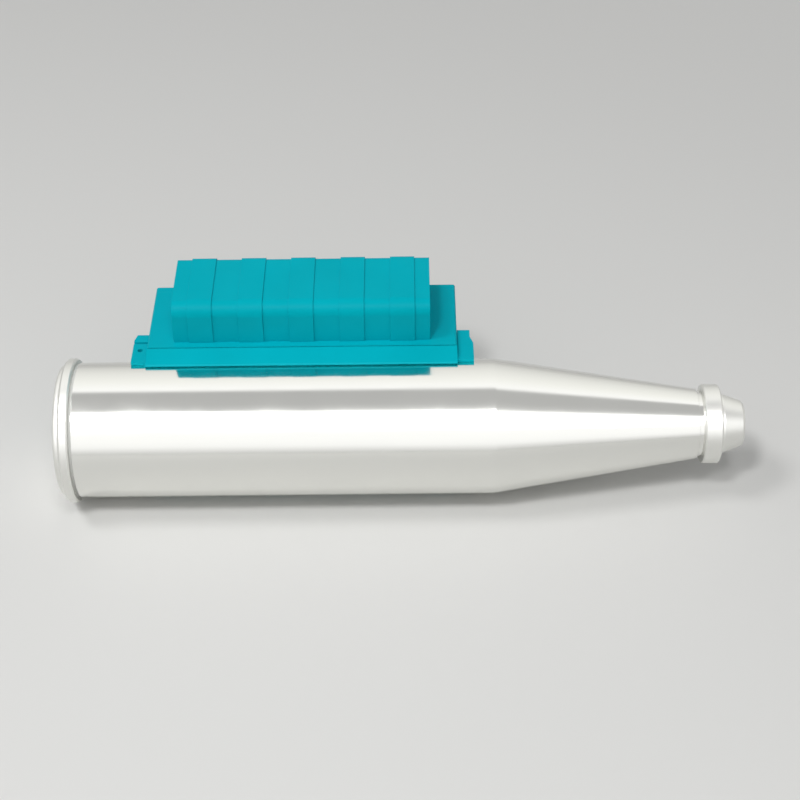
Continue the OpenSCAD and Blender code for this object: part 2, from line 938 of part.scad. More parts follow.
module saddle_screws() {
  color(steel)
    for (x = saddle_screw_xs, z = saddle_screw_zs) {
      rod_y(x, z, base_back - saddle_screw_l, saddle_seat + saddle_head_t / 2, screw_r);
      rod_y(x, z, saddle_seat, saddle_seat + saddle_head_t, saddle_head_r);
    }
}

// Four-walled housing between the saddle and the display panel
module unit_housing() {
  inner_r = unit_r - unit_wall;
  color(teal)
    difference() {
      union() {
        difference() {
          along_y(shell_y, panel_y)
            round_rect(unit_x, unit_end, -unit_r, unit_r, unit_corner_r);
          box([unit_x + unit_wall, 0, -inner_r], [unit_end - unit_wall, face_y, inner_r]);
        }
        for (x = boss_xs, z = boss_zs)
          rod_y(x, z, boss_y, panel_y, boss_r);
        for (x = board_screw_xs)
          box([x - post_half, boss_y, -unit_r + post_root],
            [x + post_half, board_y, board_screw_z + post_top]);
        for (x = cradle_xs)
          box([x, cell_y - cell_d / 2, unit_r - post_root],
            [x + cradle_t, cell_y + cell_d / 2, cell_z - cradle_low]);
        for (z = [socket_z - ear_low - ear_t, socket_z + ear_low])
          translate([flap_hinge_x, flap_hinge_y, z]) {
            cylinder(h = ear_t, r = ear_r);
            translate([0, -ear_r, 0])
              cube([unit_x - flap_hinge_x + ear_root, 2 * ear_r, ear_t]);
          }
      }
      rod_x(unit_x - over, unit_end + over, relief_r);
      for (x = boss_xs, z = boss_zs)
        rod_y(x, z, boss_y - over, panel_y + over, screw_r + fit_c);
      for (x = board_screw_xs)
        rod_y(x, board_screw_z, board_y - board_screw_l - screw_room, board_y + over,
          board_screw_r + fit_c);
      translate([0, cell_y, cell_z])
        rod_x(cell_x - over, cell_x + 2 * cell_l + over, cell_d / 2 + fit_c);
      for (x = hook_xs, y = hook_ys)
        box([x - hook_c, y - hook_c, inner_r - over],
          [x + hook_l + hook_c, y + hook_t + hook_c, unit_r + over]);
      translate([unit_x - over, 0, 0])
        rotate([90, 0, 90])
          linear_extrude(unit_wall + 2 * over)
            round_rect(socket_y - socket_l / 2, socket_y + socket_l / 2,
              socket_z - socket_h / 2, socket_z + socket_h / 2, socket_corner_r);
      translate([flap_hinge_x, flap_hinge_y, socket_z - flap_pin_half - over])
        cylinder(h = 2 * (flap_pin_half + over), r = flap_pin_r + fit_c);
    }
}

// Holes for the keys in the face, between two depths
module key_holes(y0, y1) {
  key_x0 = key_l / 2 + air;
  key_z0 = key_h / 2 + air;
  for (x = key_xs, z = key_zs)
    along_y(y0, y1)
      round_rect(x - key_x0, x + key_x0, z - key_z0, z + key_z0, key_corner + air);
}

// Recess for the window in the face, between two depths
module window_hole(y0, y1) {
  x0 = window_x - fit_c;
  x1 = window_x + window_l + fit_c;
  half = window_h / 2 + fit_c;
  along_y(y0, y1)
    round_rect(x0, x1, window_z - half, window_z + half, window_corner);
}

// Outline of the film on the face, grown by a margin
module film_outline(grow) {
  half = film_half + grow;
  round_rect(unit_x + film_in - grow, unit_end - film_in + grow, -half, half, film_corner);
}

// Face of the unit, with the recesses of film and window and the keys' holes
module display_panel() {
  x0 = window_x;
  z0 = window_z - window_h / 2;
  ledge = window_ledge;
  color(teal)
    difference() {
      along_y(panel_y, face_y)
        round_rect(unit_x, unit_end, -unit_r, unit_r, unit_corner_r);
      along_y(panel_y - over, face_y + over)
        round_rect(x0 + ledge, x0 + window_l - ledge, z0 + ledge, z0 + window_h - ledge, ledge_corner);
      window_hole(face_y - window_t - fit_c, face_y + over);
      along_y(face_y - film_t, face_y + over)
        film_outline(fit_c);
      key_holes(panel_y - over, face_y + over);
      for (x = boss_xs, z = boss_zs) {
        rod_y(x, z, panel_y - over, face_y + over, screw_r + fit_c);
        rod_y(x, z, panel_seat, face_y + over, panel_head_r + head_c);
      }
    }
}

// Black film that frames the window and the keys
module face_overlay() {
  color(dark)
    difference() {
      along_y(face_y - film_t, face_y)
        film_outline(0);
      window_hole(face_y - over, face_y + over);
      key_holes(face_y - over, face_y + over);
    }
}

module display_window() {
  x0 = window_x;
  z0 = window_z - window_h / 2;
  color("#3A4550")
    along_y(face_y - window_t, face_y)
      round_rect(x0, x0 + window_l, z0, z0 + window_h, window_corner);
}

module lcd_module() {
  color("#A9B7A4")
    box([window_x, board_y + board_t, window_z - window_h / 2],
      [window_x + window_l, board_y + board_t + lcd_t, window_z + window_h / 2]);
}

// Board that carries the display and the keypad
module main_board() {
  half = unit_r - board_margin;
  color(green)
    difference() {
      box([unit_x + board_in, board_y, -half], [unit_end - board_in, board_y + board_t, half]);
      for (x = boss_xs, z = boss_zs)
        rod_y(x, z, board_y - over, board_y + board_t + over, boss_r + boss_c);
      for (x = board_screw_xs)
        rod_y(x, board_screw_z, board_y - over, board_y + board_t + over, board_screw_r + head_c);
    }
}

module board_screws() {
  seat = board_y + board_t;
  color(steel)
    for (x = board_screw_xs) {
      rod_y(x, board_screw_z, board_y - board_screw_l, seat + board_head_t / 2, board_screw_r);
      rod_y(x, board_screw_z, seat, seat + board_head_t, board_head_r);
    }
}

// Rubber mat with a dome under each key
module keypad_mat() {
  y0 = board_y + board_t;
  low = [key_xs[0] - key_l / 2 - mat_edge, y0, key_zs[0] - key_h / 2 - mat_edge];
  high = [key_xs[1] + key_l / 2 + mat_edge_front, y0 + mat_t, key_zs[1] + key_h / 2 + mat_edge];
  color(grey) {
    box(low, high);
    for (x = key_xs, z = key_zs)
      rod_y(x, z, y0 + mat_t / 2, dome_top, dome_r);
  }
}

// Key cap with a flange that holds it behind the panel
module key(column, row) {
  x = key_xs[column];
  z = key_zs[row];
  l = key_l / 2;
  h = key_h / 2;
  back = panel_y - key_c - key_flange;
  along_y(back, face_y + key_out)
    round_rect(x - l, x + l, z - h, z + h, key_corner);
  along_y(back, back + key_flange)
    round_rect(x - l - key_lip, x + l + key_lip, z - h - key_lip, z + h + key_lip, key_corner);
}

module key_power() {
  color("#C8473C")
    key(0, 0);
}

module key_menu() {
  color(grey)
    key(1, 0);
}

module key_up() {
  color(grey)
    key(0, 1);
}

module key_down() {
  color(grey)
    key(1, 1);
}

module panel_screws() {
  color(steel)
    for (x = boss_xs, z = boss_zs) {
      rod_y(x, z, panel_y - panel_screw_l, panel_seat + panel_head_t / 2, screw_r);
      rod_y(x, z, panel_seat, panel_seat + panel_head_t, panel_head_r);
    }
}

// Outline of the battery cover, grown by a margin on its three free sides
module cover_outline(grow) {
  y0 = cover_y - grow;
  y1 = cover_y + cover_w + grow;
  top = cover_top + grow;
  near = cover_near_r + grow;
  far = cover_far_r + grow;
  translate([y0 + near, unit_r])
    square([y1 - y0 - near - far, top - unit_r]);
  translate([y0, unit_r])
    square([near + over, top - unit_r - near]);
  translate([y1 - far - over, unit_r])
    square([far + over, top - unit_r - far]);
  translate([y0 + near, top - near])
    circle(near);
  translate([y1 - far, top - far])
    circle(far);
}

// Hollow cover with raised grip bands and four snap hooks
module battery_cover() {
  color(teal) {
    difference() {
      union() {
        along_x(cover_x, cover_x + cover_l)
          cover_outline(0);
        for (i = [0:bands - 1])
          let (x = cover_mid_x + (i - (bands - 1) / 2) * band_pitch)
            along_x(x - band_w / 2, x + band_w / 2)
              cover_outline(band_t);
      }
      along_x(cover_x + cover_t, cover_x + cover_l - cover_t)
        translate([0, -hair])
          cover_outline(-cover_t);
    }
    for (x = hook_xs, y = hook_ys)
      box([x, y, unit_r - unit_wall - hook_drop], [x + hook_l, y + hook_t, unit_r + hook_rise]);
  }
}

module battery_cells() {
  color("#3F6FB5")
    translate([0, cell_y, cell_z])
      for (i = [1, 2])
        let (end = cell_x + i * cell_l) {
          rod_x(end - cell_l, end - cell_cap, cell_d / 2);
          rod_x(end - cell_cap - nub_root, end - air, nub_r);
        }
}

// Contact plates at the ends of the row of cells
module battery_contacts() {
  plate_x = cell_x - contact_reach;
  end_x = cell_x + 2 * cell_l;
  y0 = cell_y - contact_half;
  y1 = cell_y + contact_half;
  top = cell_z + contact_half;
  color(brass) {
    box([plate_x - contact_t, y0, unit_r], [plate_x, y1, top]);
    translate([0, cell_y, cell_z])
      rod_x(plate_x - contact_t / 2, cell_x - contact_gap, contact_r);
    box([end_x, y0, unit_r], [end_x + contact_t, y1, top]);
  }
}

// Hollow socket behind the port in the rear wall
module charge_socket() {
  x0 = unit_x + unit_wall;
  y0 = socket_y - socket_l / 2;
  z0 = socket_z - socket_h / 2;
  w = socket_wall;
  color(steel)
    difference() {
      box([x0, y0 - w, z0 - w], [x0 + socket_depth, y0 + socket_l + w, z0 + socket_h + w]);
      box([x0 - over, y0, z0], [x0 + socket_depth - w, y0 + socket_l, z0 + socket_h]);
    }
}

// Rubber flap that swings on a pin between two ears
module port_flap() {
  half = flap_half;
  x0 = flap_hinge_x - flap_t / 2;
  color(dark)
    difference() {
      union() {
        box([x0, socket_y - socket_l / 2 - flap_tab, socket_z - half],
          [x0 + flap_t, flap_hinge_y, socket_z + half]);
        translate([flap_hinge_x, flap_hinge_y, socket_z - half])
          cylinder(h = 2 * half, r = flap_t / 2 + knuckle_step);
      }
      translate([flap_hinge_x, flap_hinge_y, socket_z - half - over])
        cylinder(h = 2 * (half + over), r = flap_pin_r + run_c);
    }
}

module flap_pin() {
  color(steel)
    translate([flap_hinge_x, flap_hinge_y, socket_z - flap_pin_half])
      cylinder(h = 2 * flap_pin_half, r = flap_pin_r);
}

barrel();
rear_cover();
rear_seal();
trip_screw();
trip_lock_nut();
front_cap();
felt_washer();
guide_sleeve();
plunger();
guide_rod();
guide_disc();
buffer_spring();
pawl();
pawl_pin();
pawl_spring();
hammer_mass();
impact_spring();
return_spring();
rider();
rider_magnet();
rider_rod();
rod_brackets();
lock_button();
button_bush();
button_spring();
saddle_base();
sensor_board();
saddle_screws();
unit_housing();
display_panel();
face_overlay();
display_window();
lcd_module();
main_board();
board_screws();
keypad_mat();
key_power();
key_menu();
key_up();
key_down();
panel_screws();
battery_cover();
battery_cells();
battery_contacts();
charge_socket();
port_flap();
flap_pin();
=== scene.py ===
"""Concrete test hammer: a turned barrel with a spring mechanism and a clasped display unit."""
import math

import bpy
import numpy as np
from mathutils import Matrix, Vector


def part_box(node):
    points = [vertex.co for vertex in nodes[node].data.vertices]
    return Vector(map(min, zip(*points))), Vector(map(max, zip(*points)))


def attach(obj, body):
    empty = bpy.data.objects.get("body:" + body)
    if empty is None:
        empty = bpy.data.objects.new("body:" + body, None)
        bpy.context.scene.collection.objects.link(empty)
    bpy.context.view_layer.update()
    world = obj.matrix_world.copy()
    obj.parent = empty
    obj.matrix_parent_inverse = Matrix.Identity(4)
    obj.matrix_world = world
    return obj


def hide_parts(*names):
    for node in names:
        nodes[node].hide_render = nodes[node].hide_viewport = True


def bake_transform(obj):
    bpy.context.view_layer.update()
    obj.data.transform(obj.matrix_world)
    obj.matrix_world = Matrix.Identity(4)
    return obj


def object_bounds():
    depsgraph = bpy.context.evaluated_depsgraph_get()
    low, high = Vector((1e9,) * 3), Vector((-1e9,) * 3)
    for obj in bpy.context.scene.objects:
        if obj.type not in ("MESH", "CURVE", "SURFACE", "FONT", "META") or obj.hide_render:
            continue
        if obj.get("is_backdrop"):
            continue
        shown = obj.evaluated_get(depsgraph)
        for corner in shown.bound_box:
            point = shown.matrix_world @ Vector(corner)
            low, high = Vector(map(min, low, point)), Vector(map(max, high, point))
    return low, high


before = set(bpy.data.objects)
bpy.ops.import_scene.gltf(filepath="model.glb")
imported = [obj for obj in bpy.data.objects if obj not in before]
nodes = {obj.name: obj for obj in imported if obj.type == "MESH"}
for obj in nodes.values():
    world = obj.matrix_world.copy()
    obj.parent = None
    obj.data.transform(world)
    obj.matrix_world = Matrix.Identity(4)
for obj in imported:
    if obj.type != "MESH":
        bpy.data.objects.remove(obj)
cad_low, cad_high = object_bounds()
MM = 0.001


def linear(code):
    """sRGB hex to linear RGBA: each channel over 12.92 when dark, else the 2.4 power curve."""
    srgb = np.array([int(code[i:i + 2], 16) for i in (1, 3, 5)]) / 255.0
    rgb = np.where(srgb <= 0.04045, srgb / 12.92, ((srgb + 0.055) / 1.055) ** 2.4)
    return (*rgb.tolist(), 1.0)


def add(tree, kind, inputs=None, **settings):
    """Adds a node, sets its settings, and gives each input a value or a link."""
    made = tree.nodes.new(kind)
    for name, value in settings.items():
        setattr(made, name, value)
    for name, value in (inputs or {}).items():
        if isinstance(value, bpy.types.NodeSocket):
            tree.links.new(value, made.inputs[name])
        else:
            made.inputs[name].default_value = value
    return made


def blank(name):
    """An empty node material, its tree and the surface's own coordinates."""
    material = bpy.data.materials.new(name)
    material.use_nodes = True
    material.node_tree.nodes.clear()
    return material, material.node_tree, add(material.node_tree, "ShaderNodeTexCoord").outputs["Object"]


def speckle(tree, place, size_mm, low, high, detail=3.0):
    """Noise with spots of a size in millimetres, spread from low to high."""
    noise = add(tree, "ShaderNodeTexNoise", {"Vector": place, "Scale": 1 / (size_mm * MM), "Detail": detail})
    return add(tree, "ShaderNodeMapRange", {"Value": noise.outputs["Fac"], "From Min": 0.3, "From Max": 0.7,
                                            "To Min": low, "To Max": high}).outputs["Result"]


def lathe_lines(tree, place, pitch_mm, detail):
    """Noise on the sum of station and radius, so lines run round sides and faces of a turned part alike."""
    part = add(tree, "ShaderNodeSeparateXYZ", {"Vector": place}).outputs
    across = add(tree, "ShaderNodeCombineXYZ", {"X": part["Y"], "Y": part["Z"]}).outputs["Vector"]
    radius = add(tree, "ShaderNodeVectorMath", {0: across}, operation="LENGTH").outputs["Value"]
    reach = add(tree, "ShaderNodeMath", {0: part["X"], 1: radius}).outputs["Value"]
    return add(tree, "ShaderNodeTexNoise", {"W": reach, "Scale": 1 / (pitch_mm * MM), "Detail": detail},
               noise_dimensions="1D").outputs["Fac"]


def finish_material(tree, inputs):
    """Ends a material in one surface shader."""
    shade = add(tree, "ShaderNodeBsdfPrincipled", inputs)
    add(tree, "ShaderNodeOutputMaterial", {"Surface": shade.outputs["BSDF"]})


# Aluminium, turned and then polished or left satin: banded or soft reflections, turning rings, finger smudges
def turned_aluminium(name, smooth, smudged, ring_mm):
    material, tree, place = blank(name)
    rings = lathe_lines(tree, place, pitch_mm=0.5, detail=2.0)
    edge = add(tree, "ShaderNodeBevel", {"Radius": 0.25 * MM}, samples=4).outputs["Normal"]
    bump = add(tree, "ShaderNodeBump", {"Height": rings, "Distance": ring_mm * MM, "Strength": 0.6,
                                        "Normal": edge})
    smudge = speckle(tree, place, size_mm=18, low=smooth, high=smudged)
    finish_material(tree, {"Base Color": linear("#E9E9E5"), "Metallic": 1.0, "Roughness": smudge,
                           "Normal": bump.outputs["Normal"]})
    return material


# A second metal, ground or turned or drawn: fine lines round the part and a tint that drifts in patches
def worked_metal(name, colour, tint, line_mm, rough):
    material, tree, place = blank(name)
    lines = lathe_lines(tree, place, pitch_mm=line_mm, detail=3.0)
    patch = speckle(tree, place, size_mm=9, low=0.0, high=1.0)
    drift = add(tree, "ShaderNodeMix", {0: patch, 6: linear(colour), 7: linear(tint)},
                data_type="RGBA").outputs[2]
    edge = add(tree, "ShaderNodeBevel", {"Radius": 0.2 * MM}, samples=4).outputs["Normal"]
    bump = add(tree, "ShaderNodeBump", {"Height": lines, "Distance": 0.004 * MM, "Strength": 0.6,
                                        "Normal": edge})
    spread = speckle(tree, place, size_mm=4, low=rough * 0.85, high=rough * 1.2)
    finish_material(tree, {"Base Color": drift, "Metallic": 1.0, "Roughness": spread,
                           "Normal": bump.outputs["Normal"]})
    return material


# ABS and other hard plastic, moulded in a spark-eroded tool: even colour, fine grain, paler edges that are
# partly rubbed wear and partly a painted highlight
def moulded_plastic(name, colour, rubbed_and_highlit_edge, rough, gloss):
    material, tree, place = blank(name)
    grain = add(tree, "ShaderNodeTexNoise", {"Vector": place, "Scale": 1 / (0.45 * MM),
                                             "Detail": 2.0}).outputs["Fac"]
    edge = add(tree, "ShaderNodeBevel", {"Radius": 0.3 * MM}, samples=6).outputs["Normal"]
    flat = add(tree, "ShaderNodeNewGeometry").outputs["Normal"]
    turn = add(tree, "ShaderNodeVectorMath", {0: edge, 1: flat}, operation="DOT_PRODUCT").outputs["Value"]
    wear_and_highlight_amount = speckle(tree, place, size_mm=6, low=0.1, high=0.55)
    # Edges, where the bevelled normal turns away from the face's, are painted paler: partly rubbed wear,
    # partly a painted highlight along the rounding
    edge_wear_and_highlight = add(tree, "ShaderNodeMapRange", {"Value": turn, "From Min": 0.99, "From Max": 0.8, "To Min": 0.0,
                                           "To Max": wear_and_highlight_amount}).outputs["Result"]
    tone = speckle(tree, place, size_mm=24, low=0.965, high=1.035, detail=4.0)
    body = add(tree, "ShaderNodeVectorMath", {0: linear(colour)[:3], "Scale": tone}, operation="SCALE")
    worn_and_highlit = add(tree, "ShaderNodeMix", {0: edge_wear_and_highlight, 6: body.outputs["Vector"], 7: linear(rubbed_and_highlit_edge)},
               data_type="RGBA").outputs[2]
    bump = add(tree, "ShaderNodeBump", {"Height": grain, "Distance": 0.02 * MM, "Strength": 0.4,
                                        "Normal": edge})
    spread = speckle(tree, place, size_mm=15, low=rough - 0.05, high=rough + 0.05)
    finish_material(tree, {"Base Color": worn_and_highlit, "Roughness": spread, "Specular IOR Level": gloss,
                           "Normal": bump.outputs["Normal"]})
    return material


# Silicone and other rubber, moulded: dull and slightly dusty, with a soft grain
def moulded_rubber(name, colour, dusty):
    material, tree, place = blank(name)
    grain = add(tree, "ShaderNodeTexNoise", {"Vector": place, "Scale": 1 / (0.3 * MM),
                                             "Detail": 3.0}).outputs["Fac"]
    patch = speckle(tree, place, size_mm=5, low=0.0, high=0.5)
    dust = add(tree, "ShaderNodeMix", {0: patch, 6: linear(colour), 7: linear(dusty)},
               data_type="RGBA").outputs[2]
    bump = add(tree, "ShaderNodeBump", {"Height": grain, "Distance": 0.015 * MM, "Strength": 0.4})
    finish_material(tree, {"Base Color": dust, "Roughness": 0.68, "Specular IOR Level": 0.3,
                           "Normal": bump.outputs["Normal"]})
    return material


# Wool felt, pressed: no gloss, short crossed fibres about a fifth of a millimetre wide
def pressed_felt():
    material, tree, place = blank("pressed_wool_felt")
    fibre = add(tree, "ShaderNodeTexNoise", {"Vector": place, "Scale": 1 / (0.2 * MM), "Detail": 4.0,
                                             "Distortion": 1.5}).outputs["Fac"]
    tone = add(tree, "ShaderNodeMix", {0: fibre, 6: linear("#A39B86"), 7: linear("#CFC8B5")},
               data_type="RGBA").outputs[2]
    bump = add(tree, "ShaderNodeBump", {"Height": fibre, "Distance": 0.1 * MM, "Strength": 0.8})
    finish_material(tree, {"Base Color": tone, "Roughness": 0.95, "Specular IOR Level": 0.1,
                           "Sheen Weight": 0.3, "Normal": bump.outputs["Normal"]})
    return material


# Glass-fibre board under green solder mask: copper tracks half a millimetre wide show as paler lines
def masked_board():
    material, tree, place = blank("solder_masked_board")
    tracks = add(tree, "ShaderNodeTexBrick", {"Vector": place, "Scale": 1 / (4 * MM), "Mortar Size": 0.06,
                                              "Color1": linear("#17573A"), "Color2": linear("#1B6142"),
                                              "Mortar": linear("#3B8A5C")}).outputs["Color"]
    finish_material(tree, {"Base Color": tracks, "Specular IOR Level": 0.5,
                           "Roughness": speckle(tree, place, size_mm=2, low=0.3, high=0.42)})
    return material


# Liquid crystal glass with a polariser: grey-green and faintly mottled
def crystal_glass():
    material, tree, place = blank("polarised_crystal_glass")
    patch = speckle(tree, place, size_mm=14, low=0.0, high=1.0)
    tone = add(tree, "ShaderNodeMix", {0: patch, 6: linear("#A6B39E"), 7: linear("#B0BCA7")},
               data_type="RGBA").outputs[2]
    finish_material(tree, {"Base Color": tone, "Specular IOR Level": 0.4,
                           "Roughness": speckle(tree, place, size_mm=3, low=0.28, high=0.36)})
    return material


# Acrylic, cut from clear sheet: lets the display through, mirrors the room weakly; shadow rays pass it
def clear_acrylic():
    material, tree, place = blank("clear_cut_acrylic")
    sheet = add(tree, "ShaderNodeBsdfPrincipled", {
        "Base Color": linear("#F4F8F8"), "IOR": 1.49, "Transmission Weight": 1.0,
        "Roughness": speckle(tree, place, size_mm=12, low=0.0, high=0.03)})
    open_way = add(tree, "ShaderNodeBsdfTransparent")
    shadow = add(tree, "ShaderNodeLightPath").outputs["Is Shadow Ray"]
    mix = add(tree, "ShaderNodeMixShader", {0: shadow, 1: sheet.outputs["BSDF"], 2: open_way.outputs["BSDF"]})
    add(tree, "ShaderNodeOutputMaterial", {"Surface": mix.outputs["Shader"]})
    return material


# PVC sleeve, shrunk on the cells: glossy blue with a paler ring at every second cell length
def shrunk_sleeve(cell_mm=43, ring_mm=6, edge_mm=0.3):
    material, tree, place = blank("shrunk_pvc_sleeve")
    along = add(tree, "ShaderNodeSeparateXYZ", {"Vector": place}).outputs["X"]
    station = add(tree, "ShaderNodeMath", {0: along, 1: cell_mm * MM}, operation="PINGPONG").outputs["Value"]
    ring = add(tree, "ShaderNodeMapRange", {"Value": station, "From Min": ring_mm * MM,
                                            "From Max": (ring_mm + edge_mm) * MM}).outputs["Result"]
    tone = add(tree, "ShaderNodeMix", {0: ring, 6: linear("#C9CED6"), 7: linear("#2F5FA8")},
               data_type="RGBA").outputs[2]
    finish_material(tree, {"Base Color": tone, "Specular IOR Level": 0.5,
                           "Roughness": speckle(tree, place, size_mm=6, low=0.2, high=0.3)})
    return material


polished = turned_aluminium("polished_aluminium", smooth=0.1, smudged=0.16, ring_mm=0.002)
satin = turned_aluminium("satin_turned_aluminium", smooth=0.34, smudged=0.42, ring_mm=0.004)
steel = worked_metal("ground_steel", "#A3A7AB", "#B1AEA6", line_mm=0.25, rough=0.26)
wire = worked_metal("drawn_spring_wire", "#7C7F83", "#8C8577", line_mm=0.4, rough=0.32)
bronze = worked_metal("turned_bronze", "#B08D50", "#9C7A45", line_mm=0.3, rough=0.28)
nickel = worked_metal("nickel_plated_strip", "#B7B5AC", "#A9A599", line_mm=0.5, rough=0.22)
# Each plastic's second colour goes on its edges: partly rubbed wear and partly a painted highlight
teal = moulded_plastic("moulded_teal_abs", "#00B0C0", "#1CC0CD", rough=0.42, gloss=0.035)
film = moulded_plastic("printed_polycarbonate_film", "#17191C", "#2A2D31", rough=0.36, gloss=0.4)
acetal = moulded_plastic("moulded_black_acetal", "#1B1C1E", "#34363A", rough=0.45, gloss=0.4)
nylon = moulded_plastic("turned_grey_nylon", "#D2D3CF", "#DCDDD9", rough=0.45, gloss=0.4)
rubber = moulded_rubber("moulded_black_rubber", "#1D1E20", "#333538")
grey_silicone = moulded_rubber("moulded_grey_silicone", "#8A8F93", "#9A9EA1")
red_silicone = moulded_rubber("moulded_red_silicone", "#B23A31", "#BF5850")
ink = moulded_plastic("printed_white_ink", "#E3E4E2", "#E3E4E2", rough=0.55, gloss=0.3)
segment_dye = moulded_plastic("dark_crystal_segment", "#272C2B", "#272C2B", rough=0.4, gloss=0.3)
felt = pressed_felt()
board = masked_board()
glass = crystal_glass()
acrylic = clear_acrylic()
sleeve = shrunk_sleeve()

FINISHES = [
    (polished, ["barrel"]),
    (satin, ["rear_cover", "front_cap", "button_bush"]),
    (steel, ["plunger", "guide_rod", "hammer_mass", "rider_rod", "trip_screw", "trip_lock_nut", "pawl",
             "pawl_pin", "flap_pin", "saddle_screws", "board_screws", "panel_screws"]),
    (nickel, ["rider_magnet", "charge_socket", "battery_contacts"]),
    (wire, ["buffer_spring", "pawl_spring", "impact_spring", "return_spring", "button_spring"]),
    (bronze, ["guide_disc", "guide_sleeve", "rod_brackets"]),
    (teal, ["saddle_base", "unit_housing", "battery_cover", "display_panel"]),
    (film, ["face_overlay"]),
    (acetal, ["rider", "lock_button"]),
    (nylon, ["rear_seal"]),
    (rubber, ["keypad_mat", "port_flap"]),
    (grey_silicone, ["key_menu", "key_up", "key_down"]),
    (red_silicone, ["key_power"]),
    (felt, ["felt_washer"]),
    (board, ["sensor_board", "main_board"]),
    (glass, ["lcd_module"]),
    (acrylic, ["display_window"]),
    (sleeve, ["battery_cells"]),
]
for material, names in FINISHES:
    for name in names:
        nodes[name].data.materials.clear()
        nodes[name].data.materials.append(material)


def skin(grid, ring=False):
    """Points and outward faces of a closed skin over a grid.

    Columns run round the piece and close. Rows run along it: they close on themselves for a ring,
    and otherwise each end row closes on its mean point. The faces are turned over where the volume,
    the sum of the corner points' triple products over six, comes out below zero.
    """
    rows, cols, _ = grid.shape
    row, col = np.meshgrid(np.arange(rows if ring else rows - 1), np.arange(cols), indexing="ij")
    here, beside = row * cols + col, row * cols + (col + 1) % cols
    above, across = (here + cols) % (rows * cols), (beside + cols) % (rows * cols)
    tris = np.concatenate([np.stack([here, beside, across], -1).reshape(-1, 3),
                           np.stack([here, across, above], -1).reshape(-1, 3)])
    points = grid.reshape(-1, 3)
    if not ring:
        points = np.concatenate([points, grid[[0, -1]].mean(axis=1)])
        this = np.arange(cols)
        following, last_row = (this + 1) % cols, (rows - 1) * cols
        first = np.stack([following, this, np.full(cols, rows * cols)], -1)
        last = np.stack([last_row + this, last_row + following, np.full(cols, rows * cols + 1)], -1)
        tris = np.concatenate([tris, first, last])
    a, b, c = points[tris[:, 0]], points[tris[:, 1]], points[tris[:, 2]]
    if np.einsum("ij,ij->i", a, np.cross(b, c)).sum() < 0:
        tris = tris[:, ::-1]
    return points, tris


def piece(name, skins, body, material, stands_for=None, crease=35):
    """One object from several skins in millimetres, riding on a body if one is named.

    Edges sharper than the crease, in degrees, stay sharp.
    """
    starts = np.cumsum([0] + [len(points) for points, _ in skins[:-1]])
    points = np.concatenate([points for points, _ in skins]) * MM
    tris = np.concatenate([tris + start for (_, tris), start in zip(skins, starts)])
    mesh = bpy.data.meshes.new(name)
    mesh.from_pydata(points.tolist(), [], tris.tolist())
    mesh.polygons.foreach_set("use_smooth", np.ones(len(tris), dtype=bool))
    mesh.set_sharp_from_angle(angle=math.radians(crease))
    mesh.materials.append(material)
    made = bpy.data.objects.new(name, mesh)
    bpy.context.scene.collection.objects.link(made)
    if body:
        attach(made, body)
    if stands_for:
        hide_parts(stands_for)
    return made


def corners(name):
    """Lowest and highest corner of a node, in millimetres."""
    low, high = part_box(name)
    return np.array(low) / MM, np.array(high) / MM


def face_middle(low, high):
    """Middle and half sizes of a box as the face shows it: along the barrel, then up."""
    return ((low + high) / 2)[[0, 2]], ((high - low) / 2)[[0, 2]]


def rounded(half_a, half_b, radius, steps=7):
    """Rectangle with round corners: four quarter circles, each about its own corner's centre."""
    turn = np.arange(4)[:, None] * np.pi / 2 + np.linspace(0, np.pi / 2, steps)
    a = np.array([[1], [-1], [-1], [1]]) * (half_a - radius) + radius * np.cos(turn)
    b = np.array([[1], [1], [-1], [-1]]) * (half_b - radius) + radius * np.sin(turn)
    return np.stack([a.ravel(), b.ravel()], -1)


def on_face(flat, height, middle):
    """Points of the face plane: the first number along the barrel, the second up, height out of the face."""
    return np.stack([middle[0] + flat[..., 0], np.broadcast_to(height, flat.shape[:-1]),
                     middle[1] + flat[..., 1]], -1)


def turned(profile, foot, steps=48):
    """Solid turned about a line along Y: each [radius, height] of the profile goes once round."""
    radius, height = np.array(profile, dtype=float).T
    angle = np.linspace(0, 2 * np.pi, steps, endpoint=False)
    return np.stack([foot[0] + radius[:, None] * np.cos(angle), np.repeat(height[:, None], steps, 1),
                     foot[1] + radius[:, None] * np.sin(angle)], -1)


# Key caps: a flange behind the face, straight sides, a rounded rim and a shallow dish
KEY_LIP, KEY_FLANGE, KEY_RIM, KEY_DISH, KEY_CORNER = 1.2, 1.0, 0.5, 0.35, 1.8
RIM_STEPS, DISH_SHARES = 5, np.linspace(0.85, 0.1, 6)

# Printed marks on the keys: how far a mark's foot goes into the key and its top stands proud, and its parts
MARK_SINK, MARK_PROUD, MARK_CORNER, MARK_STEPS = 0.25, 0.05, 0.2, 3
ARROW_SIZE = 1.9
MENU_BAR, MENU_ROWS = (2.3, 0.28), (-1.3, 0.0, 1.3)
POWER_R, POWER_W, POWER_ARC = 2.2, 0.6, (125, 415)
POWER_BAR, POWER_BAR_UP = (0.3, 1.2), 1.5


def dish(flat, half, top):
    """Height of a key's dish: deepest in the middle, zero on the rim, one parabola along times one up."""
    return top - KEY_DISH * (1 - (flat[..., 0] / half[0]) ** 2) * (1 - (flat[..., 1] / half[1]) ** 2)


